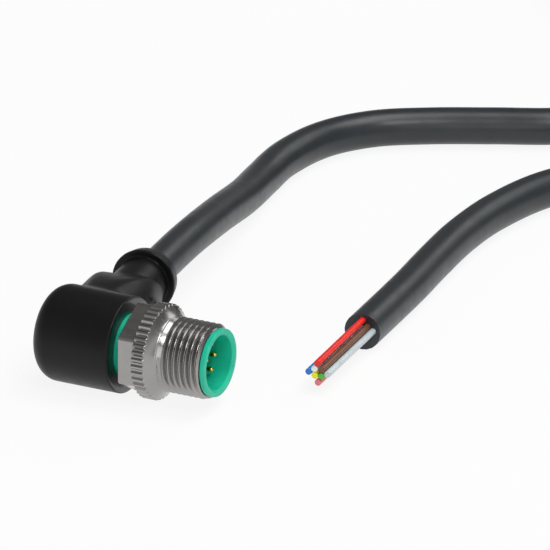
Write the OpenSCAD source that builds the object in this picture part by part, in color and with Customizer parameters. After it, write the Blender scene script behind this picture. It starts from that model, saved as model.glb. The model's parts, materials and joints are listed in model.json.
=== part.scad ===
// Right-angled round plug with an M12 screw lock, eight pins and a free cable.
// The thread's axis is X, and the plug leaves a socket along -X. Z is up.
// The origin is on that axis, at the front end of the full thread.

/* [Coupling screw] */
// Outside diameter of the thread
thread_d = 12; // [12]
// Length of the full thread
thread_len = 6.7; // [5.5:0.1:9]
// Length of the bevel in front of the thread
lead_in = 0.4; // [0.2:0.1:0.6]
// Length of the cone between the thread and the serrated grip
flare_len = 1.4; // [1:0.1:2]
// Diameter of the serrated grip
grip_d = 15.3; // [14.6:0.1:15.4]
// Length of the serrated grip
grip_len = 2; // [1.5:0.1:3]
// Number of serrations round the grip
grip_teeth = 42; // [24:2:60]
// Depth of each serration
tooth_depth = 0.3; // [0.1:0.05:0.5]
// Width of the hexagon across its flats
hex_af = 13; // [12.8:0.1:13.2]
// Length of the hexagon
hex_len = 2.8; // [2:0.1:4]

/* [Contact carrier] */
// Outside diameter of the rim in front of the screw
rim_d = 10.84; // [10.4:0.02:11]
// Length of the rim
rim_len = 0.85; // [0.6:0.05:1.2]
// Diameter of the shank that the screw turns on
shank_d = 9.8; // [9.7:0.1:9.9]
// Diameter of the mating cavity
cavity_d = 8.7; // [8.6:0.05:8.8]
// Depth of the mating cavity
cavity_depth = 9.6; // [8.5:0.1:10.5]
// Diameter of the boss behind the screw
boss_d = 10.3; // [10.2:0.05:11]
// Length of the boss that shows between the screw and the housing
boss_show = 1.35; // [0.8:0.05:1.6]
// Width of the polarizing key
key_w = 1.3; // [1:0.1:1.5]
// Height of the polarizing key
key_h = 0.75; // [0.5:0.05:0.9]

/* [Pins] */
// Diameter of each pin
pin_d = 0.8; // [0.76:0.01:0.84]
// Diameter of the circle through the outer pins
pin_circle = 5.5; // [5.5]
// How far the pin tips lie behind the rim
tip_recess = 2.15; // [1.5:0.05:3]

/* [Housing] */
// Diameter of the moulded housing
housing_d = 15.4; // [15.4:0.1:16.4]
// Length of the housing along the thread's axis
housing_len = 14.1; // [13.8:0.1:17]
// Radius of the rounded back edge
dome_r = 3; // [2:0.5:4.5]

/* [Cable outlet] */
// Distance from the housing's front face to the outlet's axis
outlet_back = 7.6; // [7.4:0.1:8.4]
// How far the outlet leans back from a right angle, in degrees
outlet_lean = 7.5; // [0:0.5:10]
// How far the outlet's root lies inside the housing's side, on the radius
hump_inset = 1.4; // [1:0.1:1.6]
// Diameter of the neck just before the collar
neck_d = 8.3; // [8:0.1:9.2]
// Diameter of the collar at its wide end
collar_d = 10.4; // [10.2:0.1:11]
// Diameter of the collar where the cable leaves it
collar_end_d = 9.5; // [9:0.1:9.8]
// Length of the collar
collar_len = 2.7; // [2:0.1:3.5]

/* [Cable] */
// Diameter of the cable's jacket
cable_d = 6; // [5.6:0.1:6]
// Diameter of each core's insulation
core_d = 1.05; // [0.9:0.05:1.05]
// Length of the bared cores at the open end
bared_len = 19.5; // [10:0.5:30]

/* [Hidden] */
CORE_NAMES = ["white", "brown", "green", "yellow", "grey", "pink", "blue", "red"];
$fn = 64;

// Clearances
turn_gap = 0.06;   // between the screw's bore and the shank, on the radius
face_gap = 0.05;   // between the screw's ends and the carrier
jacket_gap = 0.02; // between the jacket and the outlet's bore

// Stations along the thread's axis
groove_len = 0.4;
screw_front = lead_in;
groove_x = -thread_len;
flare_x = groove_x - groove_len;
grip_x = flare_x - flare_len;
hex_x = grip_x - grip_len;
screw_back = hex_x - hex_len;
rim_back = screw_front + face_gap;
tip_x = rim_back + rim_len;
cavity_floor = tip_x - cavity_depth;
boss_front = screw_back - face_gap;
housing_front = boss_front - boss_show;
pocket_depth = 1.2;
carrier_back = housing_front - pocket_depth;
housing_back = housing_front - housing_len;
outlet_x = housing_front - outlet_back;
floor_z = -housing_d / 2;

// Coupling screw
groove_depth = 0.6;
flare_step = 0.2;
corner_cut = 0.25;
tooth_root = 0.05;
groove_d = thread_d - 2 * groove_depth;
flare_start_d = thread_d + 2 * flare_step;
screw_bore_d = shank_d + 2 * turn_gap;
corner_d = hex_af / cos(30) - 2 * corner_cut;
cone_end_r = grip_d / 2 - tooth_depth - tooth_root;

// Pins: one in the middle, seven round it
PIN_ANGLES = [for (i = [0:6]) 180 - 360 / 14 * (2 * i + 1)];
PIN_PLACES = concat(
    [for (angle = PIN_ANGLES) pin_circle / 2 * [cos(angle), sin(angle)]],
    [[0, 0]]);
shoulder_d = 1;
cup_d = 1.3;
cup_bore_d = 0.84;
cup_len = 1.4;
cup_bore_len = 1.2;
conductor_d = 0.6;
core_start = carrier_back - cup_len - 0.4;

// Cable outlet, measured along its own axis from the thread's axis
hump_d = housing_d - 2 * hump_inset;
hump_end = 12.5;
hump_taper = 1.95;
arch_from = 4;
arch_top = 21;
collar_at = 24.6;
outlet_end = collar_at + collar_len;
jacket_start = 18;
straight_run = 12;
chamber_end = 9;
chamber_d = 7.2;
mark_at = 13.6;
mark_turn = 12;
outlet_bore_d = cable_d + 2 * jacket_gap;
outlet_dir = [-sin(outlet_lean), cos(outlet_lean), 0];

// Bend of the cores inside the housing
core_turn = 90 - outlet_lean;
core_bend_r = 4.6;
core_run_in = core_bend_r * tan(core_turn / 2);
core_pack = 0.62;

// The cable lies on the floor and its spare length is a strapped hank of four layers
tie_thick = 0.6;
tie_w = 10;
hank_at = [-4, 221.8];
hank_layers = 4;
fold_r = 18.4;
turns_a_layer = 1.92;
turn_pitch = cable_d + 0.2;
half_run = 16;
hank_in_r = fold_r - cable_d / 2;
hank_out_r = fold_r + turns_a_layer * turn_pitch + cable_d / 2;
hank_h = hank_layers * cable_d;
hank_z = floor_z + tie_thick;
hank_top = hank_z + hank_h - cable_d / 2;
low = floor_z + cable_d / 2;
outlet_mouth = [outlet_x, 0, 0] + outlet_end * outlet_dir;
jacket_from = [outlet_x, 0, 0] + jacket_start * outlet_dir;

// Route from the outlet to the hank
LEAD_ROUTE = [
    jacket_from,
    outlet_mouth,
    outlet_mouth + straight_run * outlet_dir,
    [-28.5, 47, -0.3],
    [-30.8, 59.5, -1.8],
    [-33.4, 73, low + 0.9],
    [-35.6, 84, low],
    [-36.4, 93, low],
    [-34.8, 103, low],
    [-30, 110.7, low],
    [-22.5, 116.1, low],
    [-13.5, 120.9, low],
    [-4, 125.9, low],
    [5.5, 134.8, low],
    [9.3, 147.1, low],
    [6.4, 159.7, low],
    [-2.5, 169.2, low],
    [-11, 174.6, low + 0.2],
    [-19.2, 179.6, low + tie_thick]];

// Route from the hank's top to the open end
TAIL_ROUTE = [
    [26.4, 217, hank_top],
    [26.6, 201, hank_top - 0.7],
    [26.4, 187, hank_top - 5.6],
    [26, 173, hank_top - 11.7],
    [25.1, 159, low + 2.3],
    [23.4, 146, low],
    [20.6, 133, low],
    [16.8, 120.6, low],
    [11.9, 109.6, low],
    [6.5, 99.6, low],
    [4.1, 87.5, low],
    [4, 76, low],
    [5.3, 64, low],
    [7, 52, low],
    [9.2, 32.3, low]];

// Places of the cores across the open end: to the side, and up
OPEN_END = [
    [-0.42, 0.94], [0.86, 0.95], [0.75, -0.18], [-0.37, -0.17],
    [1.75, 0.3], [0.17, -1.26], [-1.4, 0.33], [0.05, 1.95]];

function unit(v) = v / norm(v);

// Smooth curve through four points
function between(a, b, c, d, t) =
    0.5 * (2 * b + (c - a) * t + (2 * a - 5 * b + 4 * c - d) * t * t
        + (3 * b - a - 3 * c + d) * t * t * t);

function smooth_path(route, steps) =
    let (last = len(route) - 1)
    concat(
        [for (i = [0:last - 1], j = [0:steps - 1])
            between(route[max(i - 1, 0)], route[i], route[i + 1],
                route[min(i + 2, last)], j / steps)],
        [route[last]]);

// Lifts the path's low points so that the cable rests on the floor
function resting(path) = [for (point = path) [point[0], point[1], max(point[2], low)]];

function heading(path, i) =
    unit(path[min(i + 1, len(path) - 1)] - path[max(i - 1, 0)]);

// Points of one ring round a path that runs more or less level
function ring(centre, direction, radius, sides) =
    let (side = unit(cross(direction, [0, 0, 1])), up = cross(side, direction))
    [for (k = [0:sides - 1])
        centre + radius * (cos(360 * k / sides) * side + sin(360 * k / sides) * up)];

module tube(path, diameter, sides) {
    rings = len(path);
    last = (rings - 1) * sides;
    points = [for (i = [0:rings - 1])
        each ring(path[i], heading(path, i), diameter / 2, sides)];
    walls = [for (i = [0:rings - 2], k = [0:sides - 1])
        let (a = i * sides + k, b = i * sides + (k + 1) % sides)
        each [[a, b, b + sides], [a, b + sides, a + sides]]];
    ends = [[for (k = [sides - 1:-1:0]) k], [for (k = [0:sides - 1]) last + k]];
    polyhedron(points, concat(walls, ends));
}

// Puts a shape drawn along +Z onto the thread's axis, starting at x
module along_x(x) {
    translate([x, 0, 0])
        rotate([0, 90, 0])
            children();
}

// Puts a shape drawn along +Z onto the cable outlet's axis
module along_outlet() {
    translate([outlet_x, 0, 0])
        rotate([0, 0, outlet_lean])
            rotate([-90, 0, 0])
                children();
}

// Body of revolution about the thread's axis from pairs of radius and x
module turned(outline) {
    along_x(0)
        rotate_extrude()
            polygon(outline);
}

// Radius of the outlet's root at a distance along its axis
function root_r(s) =
    let (t = min(max((s - hump_end) / (collar_at - hump_end), 0), 1))
    hump_d / 2 - hump_taper * (1 - cos(180 * t)) / 2;

module housing_body() {
    along_x(housing_back)
        rotate_extrude() {
            translate([0, dome_r])
                square([housing_d / 2, housing_len - dome_r]);
            square([housing_d / 2 - dome_r, housing_len]);
            translate([housing_d / 2 - dome_r, dome_r])
                intersection() {
                    circle(dome_r);
                    translate([0, -dome_r])
                        square([dome_r, 2 * dome_r]);
                }
        }
}

// Root of the outlet: round about its axis, and ending in an arch that runs along the thread's axis
module outlet_root() {
    stations = [for (s = [hump_end:1.2:collar_at]) s];
    along_outlet()
        intersection() {
            rotate_extrude()
                polygon(concat(
                    [[0, 0], [hump_d / 2, 0]],
                    [for (s = stations) [root_r(s), s]],
                    [[0, collar_at]]));
            rotate([90, 0, 90])
                linear_extrude(hump_d + 1, center = true)
                    polygon(concat(
                        [for (angle = [0:10:180])
                            [hump_d / 2 * cos(angle), arch_from + (arch_top - arch_from) * sin(angle)]],
                        [[-hump_d / 2, 0], [hump_d / 2, 0]]));
        }
}

// Slim neck, on which the outlet flexes, and the collar at its end
module neck_and_collar() {
    along_outlet()
        rotate_extrude()
            polygon([
                [0, 0],
                [neck_d / 2, 0],
                [neck_d / 2, collar_at],
                [collar_d / 2, collar_at],
                [collar_d / 2, collar_at + 0.5],
                [collar_end_d / 2 + 0.2, outlet_end - 0.4],
                [collar_end_d / 2 - 0.2, outlet_end],
                [0, outlet_end]]);
}

// Raised arrowhead that shows which way the key points
module key_mark() {
    along_outlet()
        rotate([0, 0, -mark_turn])
            translate([root_r(mark_at) - 0.25, 0, mark_at])
                rotate([0, 90, 0])
                    linear_extrude(0.5)
                        polygon([[-1.1, 0], [0.7, 1.3], [0.7, 0.6], [-0.2, 0], [0.7, -0.6], [0.7, -1.3]]);
}

module chamber() {
    along_x(outlet_x - 1)
        cylinder(h = housing_front - outlet_x + 1, d = chamber_d);
    along_x(carrier_back)
        cylinder(h = pocket_depth + 1, d = boss_d);
    along_outlet() {
        translate([0, 0, -1])
            cylinder(h = chamber_end + 1, d = chamber_d);
        cylinder(h = outlet_end + 1, d = outlet_bore_d);
    }
}

module housing() {
    color("#232425")
        difference() {
            union() {
                housing_body();
                outlet_root();
                neck_and_collar();
                key_mark();
            }
            chamber();
        }
}

module contact_carrier() {
    mouth_bevel = 0.3;
    color("#14c89b")
        difference() {
            union() {
                turned([
                    [0, carrier_back],
                    [boss_d / 2, carrier_back],
                    [boss_d / 2, boss_front],
                    [shank_d / 2, boss_front],
                    [shank_d / 2, rim_back],
                    [rim_d / 2, rim_back],
                    [rim_d / 2, tip_x],
                    [cavity_d / 2 + mouth_bevel, tip_x],
                    [cavity_d / 2, tip_x - mouth_bevel],
                    [cavity_d / 2, cavity_floor],
                    [0, cavity_floor]]);
                translate([cavity_floor - 0.5, -cavity_d / 2 - 0.2, -key_w / 2])
                    cube([cavity_depth - 0.1, key_h + 0.2, key_w]);
            }
            for (place = PIN_PLACES)
                translate([carrier_back - 1, place[0], place[1]])
                    along_x(0)
                        cylinder(h = cavity_floor - carrier_back + 1.6, d = shoulder_d, $fn = 24);
        }
}

module serrated_ring() {
    linear_extrude(grip_len)
        polygon([for (i = [0:2 * grip_teeth - 1])
            let (angle = 180 * i / grip_teeth)
            (grip_d / 2 - (i % 2) * tooth_depth) * [cos(angle), sin(angle)]]);
}

module coupling_screw() {
    color("#8d8a87")
        difference() {
            union() {
                turned([
                    [0, grip_x],
                    [cone_end_r, grip_x],
                    [flare_start_d / 2, flare_x],
                    [groove_d / 2, flare_x],
                    [groove_d / 2, groove_x],
                    [thread_d / 2, groove_x],
                    [thread_d / 2, 0],
                    [thread_d / 2 - lead_in, screw_front],
                    [0, screw_front]]);
                along_x(hex_x)
                    serrated_ring();
                along_x(screw_back)
                    intersection() {
                        cylinder(h = hex_len + 0.2, d = hex_af / cos(30), $fn = 6);
                        cylinder(h = hex_len + 0.2, d = corner_d);
                    }
            }
            along_x(screw_back - 1)
                cylinder(h = screw_front - screw_back + 2, d = screw_bore_d);
        }
}

module pin(place) {
    pin_tip = tip_x - tip_recess;
    color("#d8a53a")
        translate([0, place[0], place[1]])
            difference() {
                union() {
                    along_x(carrier_back)
                        cylinder(h = cavity_floor - carrier_back, d = shoulder_d, $fn = 24);
                    along_x(carrier_back - cup_len)
                        cylinder(h = cup_len, d = cup_d, $fn = 24);
                    along_x(cavity_floor - 1)
                        cylinder(h = pin_tip - pin_d / 2 - cavity_floor + 1, d = pin_d, $fn = 24);
                    translate([pin_tip - pin_d / 2, 0, 0])
                        sphere(d = pin_d, $fn = 24);
                }
                along_x(carrier_back - cup_len - 1)
                    cylinder(h = cup_bore_len + 1, d = cup_bore_d, $fn = 24);
            }
}

// Stripped end of a core, soldered into its pin's cup
module conductor(place) {
    color("#b8683c")
        translate([0, place[0], place[1]])
            along_x(core_start)
                cylinder(h = carrier_back - cup_len + cup_bore_len - core_start, d = conductor_d, $fn = 16);
}

// Centre of a core in the housing, at an angle round the bend
function core_bend(place, angle) =
    let (
        squeeze = 1 - (1 - core_pack) * angle / core_turn,
        radius = core_bend_r - squeeze * place[0])
    [outlet_x + core_run_in - radius * sin(angle),
     core_bend_r - radius * cos(angle),
     squeeze * place[1]];

// One core: bent from its pin into the outlet, and again where the jacket ends
module core(index, colour) {
    pin_place = PIN_PLACES[index];
    open_place = OPEN_END[index];
    bend = [for (angle = [0:12:core_turn]) core_bend(pin_place, angle)];
    bend_end = core_bend(pin_place, core_turn);
    tail_end = TAIL_ROUTE[len(TAIL_ROUTE) - 1];
    tail_dir = unit(tail_end - TAIL_ROUTE[len(TAIL_ROUTE) - 2]);
    tail_side = cross([0, 0, 1], tail_dir);
    bared_from = tail_end + open_place[0] * tail_side + [0, 0, open_place[1]];
    color(colour) {
        tube(concat(
            [[core_start, pin_place[0], pin_place[1]]],
            bend,
            [bend_end, bend_end + (jacket_start - core_run_in) * outlet_dir]),
            core_d, 8);
        tube([bared_from, bared_from + bared_len * tail_dir], core_d, 12);
    }
}

module cable_lead() {
    color("#3a4045")
        tube(resting(smooth_path(LEAD_ROUTE, 2)), cable_d, 12);
}

module cable_tail() {
    color("#3a4045")
        tube(resting(smooth_path(TAIL_ROUTE, 2)), cable_d, 12);
}

// Rectangle with round corners, centred
module rounded(w, h, r) {
    square([w - 2 * r, h], center = true);
    square([w, h - 2 * r], center = true);
    for (x = [-1, 1], y = [-1, 1])
        translate([x * (w / 2 - r), y * (h / 2 - r)])
            circle(r);
}

// Outline of a fold of the hank's two runs, at one radius
module fold_outline(r) {
    for (y = [-half_run, half_run])
        translate([0, y])
            circle(r);
    square([2 * r, 2 * half_run], center = true);
}

module cable_hank() {
    color("#3a4045")
        translate([hank_at[0], hank_at[1], hank_z])
            linear_extrude(hank_h)
                difference() {
                    fold_outline(hank_out_r);
                    fold_outline(hank_in_r);
                }
}

// Strap round both runs of the hank
module hank_tie() {
    fit = 0.1;
    hank_w = 2 * hank_out_r;
    color("#1d1e20")
        translate([hank_at[0], hank_at[1] - tie_w / 2, hank_z + hank_h / 2])
            rotate([-90, 0, 0])
                linear_extrude(tie_w)
                    difference() {
                        rounded(hank_w + 2 * tie_thick + fit, hank_h + 2 * tie_thick, 2 * tie_thick);
                        square([hank_w + fit, hank_h], center = true);
                    }
}

housing();
contact_carrier();
coupling_screw();
pin(PIN_PLACES[0]);  // pin_1
pin(PIN_PLACES[1]);  // pin_2
pin(PIN_PLACES[2]);  // pin_3
pin(PIN_PLACES[3]);  // pin_4
pin(PIN_PLACES[4]);  // pin_5
pin(PIN_PLACES[5]);  // pin_6
pin(PIN_PLACES[6]);  // pin_7
pin(PIN_PLACES[7]);  // pin_8
conductor(PIN_PLACES[0]);  // conductor_1
conductor(PIN_PLACES[1]);  // conductor_2
conductor(PIN_PLACES[2]);  // conductor_3
conductor(PIN_PLACES[3]);  // conductor_4
conductor(PIN_PLACES[4]);  // conductor_5
conductor(PIN_PLACES[5]);  // conductor_6
conductor(PIN_PLACES[6]);  // conductor_7
conductor(PIN_PLACES[7]);  // conductor_8
core(0, "white");  // core_white
core(1, "#7a4a38");  // core_brown
core(2, "#58b838");  // core_green
core(3, "#f8f010");  // core_yellow
core(4, "#c5d0d3");  // core_grey
core(5, "#f08088");  // core_pink
core(6, "#2f7ad0");  // core_blue
core(7, "#ff3020");  // core_red
cable_lead();
cable_hank();
cable_tail();
hank_tie();
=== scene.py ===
"""Looks of a right-angled round plug with a screw lock and a free cable."""

import json
import math

import bmesh
import bpy
import numpy as np
from bpy.props import FloatProperty, FloatVectorProperty, IntProperty, PointerProperty
from mathutils import Matrix, Vector


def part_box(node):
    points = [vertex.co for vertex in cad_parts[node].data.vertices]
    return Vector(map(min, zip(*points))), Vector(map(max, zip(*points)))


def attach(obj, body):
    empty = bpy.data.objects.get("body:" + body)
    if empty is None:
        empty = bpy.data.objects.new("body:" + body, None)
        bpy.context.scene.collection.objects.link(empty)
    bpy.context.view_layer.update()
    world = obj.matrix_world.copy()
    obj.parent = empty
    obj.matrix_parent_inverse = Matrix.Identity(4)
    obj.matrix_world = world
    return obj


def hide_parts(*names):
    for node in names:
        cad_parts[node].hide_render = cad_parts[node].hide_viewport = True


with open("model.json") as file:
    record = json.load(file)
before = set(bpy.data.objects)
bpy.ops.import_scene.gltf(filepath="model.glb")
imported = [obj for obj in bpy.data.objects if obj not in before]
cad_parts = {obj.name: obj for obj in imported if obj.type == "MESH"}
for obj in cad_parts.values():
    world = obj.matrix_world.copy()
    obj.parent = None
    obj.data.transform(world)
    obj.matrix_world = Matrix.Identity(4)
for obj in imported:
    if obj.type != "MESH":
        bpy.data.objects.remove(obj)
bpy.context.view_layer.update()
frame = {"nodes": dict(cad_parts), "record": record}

bl_info = {
    "name": "Right-Angled Round Plug",
    "version": (1, 0, 0),
    "blender": (4, 5, 0),
    "location": "3D View > Sidebar > Plug",
    "description": "Builds the housing, screw, contacts and cable of a right-angled round plug",
    "category": "Object",
}

MM = 0.001
CORE_COLOURS = ("white", "brown", "green", "yellow", "grey", "pink", "blue", "red")


# Places taken from the frame, in millimetres


def span(node, axis=0):
    """Where a node starts and ends along an axis."""
    low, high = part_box(node)
    return low[axis] / MM, high[axis] / MM


def middle(node):
    """Middle of a node's box."""
    low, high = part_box(node)
    return [(a + b) / 2 / MM for a, b in zip(low, high)]


SCREW_BACK, SCREW_FRONT = span("coupling_screw")
CARRIER_BACK, RIM_FRONT = span("contact_carrier")
HOUSING_FRONT = span("housing")[1]
PIN_BACK, PIN_TIP = span("pin_8")
FLOOR_Z = span("housing", 2)[0]
THREAD = frame["record"]["mounts"][0]
THREAD_R = THREAD["dims"]["r_mm"]
THREAD_LEN = THREAD["dims"]["length_mm"]


# Sizes and colours that a user would change


def length(name, description, default, low=0.0, high=0.1):
    """A length in metres, given here in millimetres."""
    return FloatProperty(
        name=name, description=description, default=default * MM, min=low * MM,
        max=high, unit="LENGTH", subtype="DISTANCE", precision=5)


def paint(name, description, default):
    """A colour."""
    return FloatVectorProperty(
        name=name, description=description, default=default, size=3,
        subtype="COLOR", min=0.0, max=1.0)


class PlugScrewSizes(bpy.types.PropertyGroup):
    """Sizes of the coupling screw"""

    pitch: length("Thread Pitch", "Distance from one crest to the next", 1.0)
    thread_depth: length("Thread Depth", "Depth of the thread", 0.6)
    hex_len: length("Hexagon Length", "Length of the hexagon behind the grip", 2.8)
    flare_len: length("Flare Length", "Length of the curve up to the grip", 1.4)
    grip_len: length("Grip Length", "Length of the serrated grip", 2.0)
    grip_d: length("Grip Diameter", "Outside diameter of the serrated grip", 15.3)
    tooth_depth: length("Tooth Depth", "Depth of each serration", 0.3)
    teeth: IntProperty(
        name="Serrations", description="Number of serrations", default=42, min=12, max=90)
    hex_af: length("Hexagon", "Width across the flats", 13.0)
    bore_r: length("Bore Radius", "Radius of the bore", 4.96)


class PlugHousingSizes(bpy.types.PropertyGroup):
    """Sizes of the moulded housing and its cable outlet"""

    housing_len: length("Housing Length", "Length along the thread's axis", 14.1)
    dome_r: length("Dome Radius", "Radius of the rounded back edge", 3.0)
    outlet_back: length("Outlet Offset", "From the front face to the outlet's axis", 7.6)
    outlet_lean: FloatProperty(
        name="Outlet Lean", description="How far the outlet leans back from a right angle",
        default=math.radians(7.5), unit="ROTATION", subtype="ANGLE")
    root_d: length("Root Diameter", "Diameter of the outlet at the housing", 12.6)
    root_end: length("Root Taper Start", "From the thread's axis to where the root narrows", 12.5)
    root_taper: length("Root Taper", "How far the root narrows, on the radius", 1.95)
    arch_from: length("Arch Foot", "From the thread's axis to the middle of the root's arched end", 4.0)
    arch_top: length("Arch Top", "From the thread's axis to the top of the root's arched end", 21.0)
    neck_d: length("Neck Diameter", "Diameter of the neck between the root and the collar", 8.3)
    collar_at: length("Collar Place", "From the thread's axis to the collar", 24.6)
    collar_len: length("Collar Length", "Length of the collar", 2.7)
    collar_d: length("Collar Diameter", "Diameter of the collar's wide end", 10.4)
    collar_end_d: length("Collar End", "Diameter of the collar's narrow end", 9.5)


class PlugCarrierSizes(bpy.types.PropertyGroup):
    """Sizes of the contact carrier and its pins"""

    rim_d: length("Rim Diameter", "Outside diameter of the rim", 10.84)
    rim_len: length("Rim Length", "Length of the rim", 0.85)
    shank_d: length("Shank Diameter", "Diameter of the shank", 9.8)
    cavity_d: length("Cavity Diameter", "Diameter of the mating cavity", 8.7)
    cavity_depth: length("Cavity Depth", "Depth of the mating cavity", 9.6)
    boss_d: length("Boss Diameter", "Diameter of the boss behind the screw", 10.3)
    key_w: length("Key Width", "Width of the polarizing key", 1.3)
    key_h: length("Key Height", "Height of the polarizing key", 0.75)
    pin_d: length("Pin Diameter", "Diameter of each pin", 0.8)


class PlugCableSizes(bpy.types.PropertyGroup):
    """Sizes of the cable"""

    cable_d: length("Jacket Diameter", "Diameter of the cable's jacket", 6.0)
    cable_len: length("Cable Length", "Length of the cable", 2000.0, high=10.0)
    core_d: length("Core Diameter", "Diameter of each core's insulation", 1.05)
    bared_len: length("Bared Length", "Length of the bared cores", 19.5)


class PlugColours(bpy.types.PropertyGroup):
    """Colours of the plug and its cable"""

    housing: paint("Housing", "Moulded housing", (0.0040, 0.0040, 0.0042))
    carrier: paint("Carrier", "Contact carrier", (0.006, 0.52, 0.33))
    nickel: paint("Nickel", "Plating of the screw", (0.35, 0.339, 0.330))
    gold: paint("Gold", "Plating of the pins", (0.90, 0.55, 0.12))
    copper: paint("Copper", "Bare strands", (0.72, 0.33, 0.18))
    jacket: paint("Jacket", "Cable jacket", (0.020, 0.0245, 0.028))
    tie: paint("Tie", "Strap round the hank", (0.012, 0.012, 0.013))
    floor: paint("Floor", "Studio floor", (0.86, 0.86, 0.86))
    core_white: paint("White Core", "Insulation", (0.88, 0.88, 0.86))
    core_brown: paint("Brown Core", "Insulation", (0.17, 0.070, 0.036))
    core_green: paint("Green Core", "Insulation", (0.095, 0.48, 0.036))
    core_yellow: paint("Yellow Core", "Insulation", (0.92, 0.86, 0.012))
    core_grey: paint("Grey Core", "Insulation", (0.56, 0.63, 0.65))
    core_pink: paint("Pink Core", "Insulation", (0.86, 0.21, 0.24))
    core_blue: paint("Blue Core", "Insulation", (0.025, 0.19, 0.63))
    core_red: paint("Red Core", "Insulation", (0.86, 0.016, 0.010))


def settings_of(part):
    """The sizes or colours of one part of the plug, as the scene keeps them."""
    return getattr(bpy.context.scene, "plug_" + part)


# Finishes


class Graph:
    """A tree of nodes, built step by step."""

    def __init__(self, tree):
        self.nodes = tree.nodes
        self.links = tree.links

    def node(self, kind, sockets=(), **settings):
        """Adds a node with its settings, and feeds its sockets."""
        made = self.nodes.new(kind)
        for key, value in settings.items():
            setattr(made, key, value)
        self.feed(made, dict(sockets))
        return made

    def feed(self, node, sockets):
        """Sets each socket to a number or colour, or links it to another node's output."""
        for key, value in sockets.items():
            if isinstance(value, bpy.types.NodeSocket):
                self.links.new(value, node.inputs[key])
            else:
                node.inputs[key].default_value = value

    def between(self, factor, low, high, start=0.3, end=0.7):
        """Runs from low to high as factor goes from start to end."""
        spread = self.node("ShaderNodeMapRange", {
            "Value": factor, "From Min": start, "From Max": end, "To Min": low, "To Max": high})
        return spread.outputs["Result"]

    def maths(self, operation, a, b):
        """The result of one sum."""
        return self.node("ShaderNodeMath", {0: a, 1: b}, operation=operation).outputs["Value"]

    def xyz(self, vector):
        """The three parts of a vector, by letter."""
        return self.node("ShaderNodeSeparateXYZ", {"Vector": vector}).outputs


class Finish(Graph):
    """One node material and its main shader."""

    def __init__(self, name):
        self.material = bpy.data.materials.new(name)
        self.material.use_nodes = True
        super().__init__(self.material.node_tree)
        self.shader = self.nodes["Principled BSDF"]
        self.place = self.node("ShaderNodeTexCoord").outputs["Object"]

    def stretched(self, scale):
        """The object's own coordinates, stretched by axis."""
        return self.node("ShaderNodeMapping", {"Scale": scale, "Vector": self.place}).outputs["Vector"]

    def grain(self, size, detail=3.0, roughness=0.5, where=None):
        """Noise whose lumps are about size metres across."""
        noise = self.node("ShaderNodeTexNoise", {
            "Scale": 1 / size, "Detail": detail, "Roughness": roughness, "Vector": where or self.place})
        return noise.outputs["Fac"]

    def bands(self, scale, direction, distortion=0.0):
        """Parallel bands across the object's own coordinates."""
        wave = self.node("ShaderNodeTexWave", {
            "Scale": scale, "Distortion": distortion, "Vector": self.place},
            wave_type="BANDS", bands_direction=direction)
        return wave.outputs["Fac"]

    def tones(self, factor, dark, light, start=0.35, end=0.65):
        """Runs from a dark to a light tone as factor goes from start to end."""
        ramp = self.node("ShaderNodeValToRGB", {"Fac": factor})
        for stop, position, tone in zip(ramp.color_ramp.elements, (start, end), (dark, light)):
            stop.position = position
            stop.color = (*tone, 1)
        return ramp.outputs["Color"]

    def cloudy(self, factor, colour, darker, lighter):
        """A colour that runs from a darker to a lighter shade of itself."""
        return self.tones(factor, shade(colour, darker), shade(colour, lighter))

    def crevices(self, colour, reach):
        """Paints shade into a colour: darkens it where other faces stand closer than reach metres."""
        near = self.node("ShaderNodeAmbientOcclusion", {"Distance": reach}, samples=8)
        shadow = self.tones(near.outputs["AO"], (0.2, 0.2, 0.2), (1, 1, 1), 0.35, 0.85)
        mix = self.node(
            "ShaderNodeMix", {"Factor": 1.0, "A": colour, "B": shadow}, data_type="RGBA",
            blend_type="MULTIPLY")
        return mix.outputs["Result"]

    def bump(self, height, depth, strength, under=None):
        """Relief of that depth in metres, over a finer one if there is one."""
        sockets = {"Strength": strength, "Distance": depth, "Height": height}
        if under is not None:
            sockets["Normal"] = under
        return self.node("ShaderNodeBump", sockets).outputs["Normal"]

    def set(self, **values):
        """Feeds the shader's own sockets."""
        self.feed(self.shader, {key.replace("_", " "): value for key, value in values.items()})


def shade(colour, factor):
    """A darker or lighter colour."""
    return tuple(min(1.0, channel * factor) for channel in colour)


def moulded_black(colour):
    """Matte moulded rubber with a fine eroded grain, polished on the flat front face."""
    f = Finish("moulded_black")
    f.set(Metallic=0.0, IOR=1.48, Specular_IOR_Level=0.26, Coat_Roughness=0.2)
    cloud = f.grain(0.006, 4)
    f.set(Base_Color=f.cloudy(cloud, colour, 0.85, 1.2))
    f.set(Roughness=f.between(f.grain(0.0012, 4), 0.36, 0.44))
    face = HOUSING_FRONT * MM
    f.set(Coat_Weight=f.between(f.xyz(f.place)["X"], 0.0, 0.9, face - 0.00006, face - 0.00002))
    fine = f.bump(f.grain(0.00022, 5, 0.6), 0.000006, 0.5)
    f.set(Normal=f.bump(cloud, 0.00002, 0.25, fine))
    return f.material


def carrier_teal(colour):
    """Glass-filled moulding: even colour with faint flow clouds and a satin face."""
    f = Finish("carrier_teal")
    f.set(Metallic=0.0, IOR=1.5)
    f.set(Subsurface_Weight=0.12, Subsurface_Scale=0.0006, Subsurface_Radius=(0.3, 1.0, 0.7))
    f.set(Base_Color=f.cloudy(f.grain(0.003, 4), colour, 0.92, 1.06))
    f.set(Roughness=f.between(f.grain(0.0008, 3), 0.36, 0.46))
    f.set(Normal=f.bump(f.grain(0.00015, 4), 0.000004, 0.4))
    return f.material


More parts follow.
